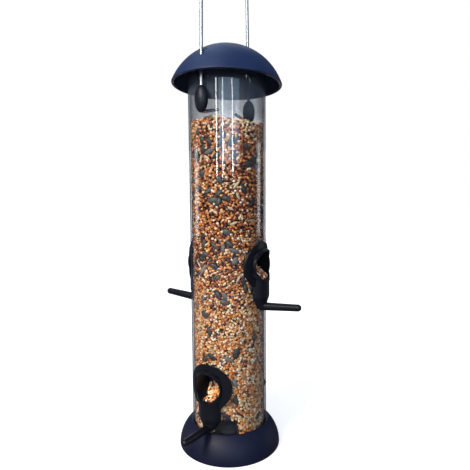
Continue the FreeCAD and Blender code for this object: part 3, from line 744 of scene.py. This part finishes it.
def cutter(name, mesh_maker):
    """A hidden closed mesh to cut the core with."""
    build = bmesh.new()
    mesh_maker(build)
    bmesh.ops.recalc_face_normals(build, faces=build.faces)
    mesh = bpy.data.meshes.new(name)
    build.to_mesh(mesh)
    build.free()
    piece = bpy.data.objects.new(name, mesh)
    bpy.context.scene.collection.objects.link(piece)
    return piece


def hood_room(side):
    """The room inside and round a port's hood, above the seed that slopes down to its opening."""
    def make(build):
        start, end = 11.2 * MM, 45 * MM
        bmesh.ops.create_cone(build, cap_ends=True, segments=48, radius1=COLLAR_RADIUS + 0.6 * MM,
                              radius2=COLLAR_RADIUS + 0.6 * MM, depth=end - start)
        lying = Matrix.Rotation(math.radians(90), 4, "Y")
        to_middle = Matrix.Translation(((start + end) / 2, 0, 0))
        bmesh.ops.transform(build, verts=build.verts, matrix=to_middle @ lying)
        corner = Vector((MOUTH_LOW, 0, pile_height("front", MOUTH_LOW) - 3.2 * MM))
        downward = Vector((-math.sin(MOUTH_SLOPE), 0, -math.cos(MOUTH_SLOPE)))
        whole = [*build.verts, *build.edges, *build.faces]
        cut = bmesh.ops.bisect_plane(
            build, geom=whole, plane_co=corner, plane_no=downward, clear_outer=True)
        bmesh.ops.holes_fill(build, edges=[e for e in cut["geom_cut"] if isinstance(e, bmesh.types.BMEdge)])
        turn = Matrix.Rotation(math.radians(PORT_AZIMUTH[side] - 90), 4, "Z")
        raised = Matrix.Translation((0, 0, port_height[side]))
        bmesh.ops.transform(build, verts=build.verts, matrix=raised @ turn)
    return cutter(f"hood_room_{side}", make)


def air_pocket():
    """The empty corner between the front port's neck and the deflector's crown."""
    def make(build):
        low, high = seed_low.z - 2 * MM, seed_low.z + 21.5 * MM
        rows = []
        for level in (low, high):
            inner = [build.verts.new(around(azimuth, 12 * MM, level)) for azimuth in range(-14, 56, 6)]
            outer = [build.verts.new(around(azimuth, 40 * MM, level)) for azimuth in range(-14, 56, 6)]
            rows.append(inner + outer[::-1])
        bottom, top = rows
        build.faces.new(bottom[::-1])
        build.faces.new(top)
        for index in range(len(bottom)):
            after = (index + 1) % len(bottom)
            build.faces.new((bottom[index], bottom[after], top[after], top[index]))
    return cutter("air_pocket", make)


def make_core():
    """The mass of seed behind the grains, seen only between them, where its near-black colour is painted
    shade.
    """
    def make(build):
        sides, rings = 120, 90
        bottom, top = seed_low.z + 0.3 * MM, seed_high.z - 1.0 * MM
        rows = []
        for ring in range(rings + 1):
            height = bottom + (top - bottom) * ring / rings
            radii = tube_inside - 4.6 * MM + chance.uniform(-0.35, 0.35, sides) * MM
            rows.append([build.verts.new(around(360 * i / sides, radii[i], height)) for i in range(sides)])
        for low, high in zip(rows, rows[1:]):
            for side in range(sides):
                after = (side + 1) % sides
                build.faces.new((low[side], low[after], high[after], high[side]))
        build.faces.new(rows[0][::-1])
        build.faces.new(rows[-1])
    rough = cutter("seed_rough", make)
    tools = [hood_room(side) for side in PORT_AZIMUTH] + [air_pocket()]
    for tool in tools:
        modifier = rough.modifiers.new(tool.name, "BOOLEAN")
        modifier.operation = "DIFFERENCE"
        modifier.solver = "EXACT"
        modifier.object = tool
    graph = bpy.context.evaluated_depsgraph_get()
    mesh = bpy.data.meshes.new_from_object(rough.evaluated_get(graph))
    mesh.name = "seed_core"
    for spent in [rough, *tools]:
        bpy.data.objects.remove(spent)
    finish = Finish("seed_shadow")
    lumps = finish.noise(1.8 * MM, 3.0)
    # The core's near-black browns are painted shade for the deep gaps between the grains.
    finish.colour(finish.ramp(lumps, [(0.35, (0.010, 0.005, 0.003)), (0.7, (0.050, 0.024, 0.012))]))
    finish.bump(lumps, 0.9 * MM)
    finish.roughness(lumps, 0.75, 0.95)
    mesh.materials.clear()
    mesh.materials.append(finish.material)
    piece = bpy.data.objects.new("seed_core", mesh)
    bpy.context.scene.collection.objects.link(piece)
    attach(piece, "feeder")
    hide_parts("seed_fill")


def make_seed():
    """The whole fill: grains at the wall, on top and in the hoods, over a dark core."""
    kinds = seed_kinds()
    fill_wall(kinds)
    fill_top(kinds)
    fill_hoods(kinds)
    for kind in kinds.values():
        kind.build()
    make_core()


# ---- CAD nodes ------------------------------------------------------------------------------


def finish_parts():
    """Gives each CAD node the finish of what it is made of."""
    black = moulded_plastic("black_plastic", (0.0024, 0.0027, 0.0042), (0.0036, 0.0040, 0.0062), 0.38, 0.19)
    navy = moulded_plastic("navy_plastic", (0.0050, 0.0110, 0.0360), (0.0074, 0.0155, 0.0480), 0.46, 0.22)
    foot = moulded_plastic("foot_plastic", (0.0028, 0.0038, 0.0130), (0.0042, 0.0054, 0.0180), 0.50, 0.16)
    rubber = moulded_plastic("sleeve_rubber", (0.003, 0.004, 0.008), (0.005, 0.006, 0.012), 0.42, 0.15)
    for side in PORT_AZIMUTH:
        give(f"port_{side}", black)
        give(f"perch_{side}", black)
    give("lid_dome", navy)
    give("base_skirt", foot)
    give("seed_deflector", black)
    give("base_screws", screw_steel())
    give("wire_bail", zinc_wire())
    give("wire_sleeve_front", rubber)
    give("wire_sleeve_back", rubber)
    give("feeder_tube", clear_plastic())


make_camera()
make_lights()
make_world()
make_floor()
finish_parts()
make_seed()
